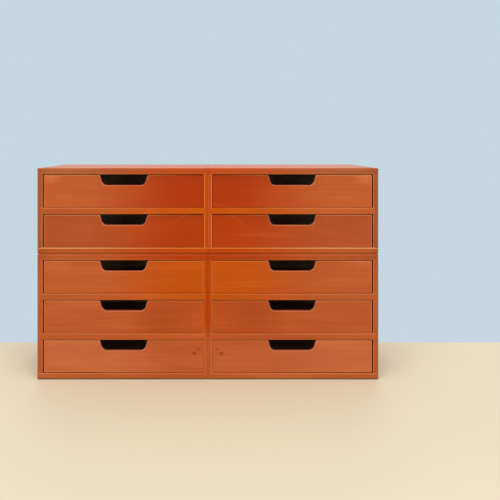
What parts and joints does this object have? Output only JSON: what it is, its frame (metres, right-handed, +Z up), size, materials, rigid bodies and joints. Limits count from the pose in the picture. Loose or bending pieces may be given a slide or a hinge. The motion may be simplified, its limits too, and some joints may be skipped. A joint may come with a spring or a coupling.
{
  "type": "desktop mini drawers",
  "caption": "Stackable stained wooden desktop cabinets with rows of shallow drawers; each drawer slides out by a rounded finger grip cut in the top edge of its front.",
  "frame": {"origin": "on the table, under the middle of the four cabinets", "axes": "+X to the right seen from the front, +Y to the back, +Z up; the drawers open towards -Y"},
  "size_m": [0.6602, 0.25, 0.409],
  "materials": {
    "stained_board": "orange-brown stain under satin lacquer",
    "drawer_front": "orange-brown stain under satin lacquer",
    "drawer_wood": "planed, unstained",
    "thin_plywood": "sanded plywood, unstained"
  },
  "bodies": {
    "upper_left_cabinet": {"upper_left_side_panels": "stained_board", "upper_left_top_board": "stained_board", "upper_left_bottom_board": "stained_board", "upper_left_shelves": "stained_board", "upper_left_back_panel": "thin_plywood"},
    "upper_left_drawer_1": {"upper_left_drawer_1_front": "drawer_front", "upper_left_drawer_1_sides": "drawer_wood", "upper_left_drawer_1_back": "drawer_wood", "upper_left_drawer_1_bottom": "thin_plywood"},
    "upper_left_drawer_2": {"upper_left_drawer_2_front": "drawer_front", "upper_left_drawer_2_sides": "drawer_wood", "upper_left_drawer_2_back": "drawer_wood", "upper_left_drawer_2_bottom": "thin_plywood"},
    "upper_right_cabinet": {"upper_right_side_panels": "stained_board", "upper_right_top_board": "stained_board", "upper_right_bottom_board": "stained_board", "upper_right_shelves": "stained_board", "upper_right_back_panel": "thin_plywood"},
    "upper_right_drawer_1": {"upper_right_drawer_1_front": "drawer_front", "upper_right_drawer_1_sides": "drawer_wood", "upper_right_drawer_1_back": "drawer_wood", "upper_right_drawer_1_bottom": "thin_plywood"},
    "upper_right_drawer_2": {"upper_right_drawer_2_front": "drawer_front", "upper_right_drawer_2_sides": "drawer_wood", "upper_right_drawer_2_back": "drawer_wood", "upper_right_drawer_2_bottom": "thin_plywood"},
    "lower_left_cabinet": {"lower_left_side_panels": "stained_board", "lower_left_top_board": "stained_board", "lower_left_bottom_board": "stained_board", "lower_left_shelves": "stained_board", "lower_left_back_panel": "thin_plywood"},
    "lower_left_drawer_1": {"lower_left_drawer_1_front": "drawer_front", "lower_left_drawer_1_sides": "drawer_wood", "lower_left_drawer_1_back": "drawer_wood", "lower_left_drawer_1_bottom": "thin_plywood"},
    "lower_left_drawer_2": {"lower_left_drawer_2_front": "drawer_front", "lower_left_drawer_2_sides": "drawer_wood", "lower_left_drawer_2_back": "drawer_wood", "lower_left_drawer_2_bottom": "thin_plywood"},
    "lower_left_drawer_3": {"lower_left_drawer_3_front": "drawer_front", "lower_left_drawer_3_sides": "drawer_wood", "lower_left_drawer_3_back": "drawer_wood", "lower_left_drawer_3_bottom": "thin_plywood"},
    "lower_right_cabinet": {"lower_right_side_panels": "stained_board", "lower_right_top_board": "stained_board", "lower_right_bottom_board": "stained_board", "lower_right_shelves": "stained_board", "lower_right_back_panel": "thin_plywood"},
    "lower_right_drawer_1": {"lower_right_drawer_1_front": "drawer_front", "lower_right_drawer_1_sides": "drawer_wood", "lower_right_drawer_1_back": "drawer_wood", "lower_right_drawer_1_bottom": "thin_plywood"},
    "lower_right_drawer_2": {"lower_right_drawer_2_front": "drawer_front", "lower_right_drawer_2_sides": "drawer_wood", "lower_right_drawer_2_back": "drawer_wood", "lower_right_drawer_2_bottom": "thin_plywood"},
    "lower_right_drawer_3": {"lower_right_drawer_3_front": "drawer_front", "lower_right_drawer_3_sides": "drawer_wood", "lower_right_drawer_3_back": "drawer_wood", "lower_right_drawer_3_bottom": "thin_plywood"}
  },
  "joints": [
    {"name": "upper_left_drawer_1_slide", "type": "slide", "parent": "upper_left_cabinet", "child": "upper_left_drawer_1", "axis": [0, -1, 0], "range_m": [0, 0.19]},
    {"name": "upper_left_drawer_2_slide", "type": "slide", "parent": "upper_left_cabinet", "child": "upper_left_drawer_2", "axis": [0, -1, 0], "range_m": [0, 0.19]},
    {"name": "upper_right_drawer_1_slide", "type": "slide", "parent": "upper_right_cabinet", "child": "upper_right_drawer_1", "axis": [0, -1, 0], "range_m": [0, 0.19]},
    {"name": "upper_right_drawer_2_slide", "type": "slide", "parent": "upper_right_cabinet", "child": "upper_right_drawer_2", "axis": [0, -1, 0], "range_m": [0, 0.19]},
    {"name": "lower_left_drawer_1_slide", "type": "slide", "parent": "lower_left_cabinet", "child": "lower_left_drawer_1", "axis": [0, -1, 0], "range_m": [0, 0.19]},
    {"name": "lower_left_drawer_2_slide", "type": "slide", "parent": "lower_left_cabinet", "child": "lower_left_drawer_2", "axis": [0, -1, 0], "range_m": [0, 0.19]},
    {"name": "lower_left_drawer_3_slide", "type": "slide", "parent": "lower_left_cabinet", "child": "lower_left_drawer_3", "axis": [0, -1, 0], "range_m": [0, 0.19]},
    {"name": "lower_right_drawer_1_slide", "type": "slide", "parent": "lower_right_cabinet", "child": "lower_right_drawer_1", "axis": [0, -1, 0], "range_m": [0, 0.19]},
    {"name": "lower_right_drawer_2_slide", "type": "slide", "parent": "lower_right_cabinet", "child": "lower_right_drawer_2", "axis": [0, -1, 0], "range_m": [0, 0.19]},
    {"name": "lower_right_drawer_3_slide", "type": "slide", "parent": "lower_right_cabinet", "child": "lower_right_drawer_3", "axis": [0, -1, 0], "range_m": [0, 0.19]},
    {"name": "upper_left_cabinet_lift", "type": "slide", "parent": "lower_left_cabinet", "child": "upper_left_cabinet", "axis": [0, 0, 1], "range_m": [0, 0.2]},
    {"name": "upper_right_cabinet_lift", "type": "slide", "parent": "lower_right_cabinet", "child": "upper_right_cabinet", "axis": [0, 0, 1], "range_m": [0, 0.2]},
    {"name": "right_column_shift", "type": "slide", "parent": "lower_left_cabinet", "child": "lower_right_cabinet", "axis": [1, 0, 0], "range_m": [0, 0.15]}
  ]
}
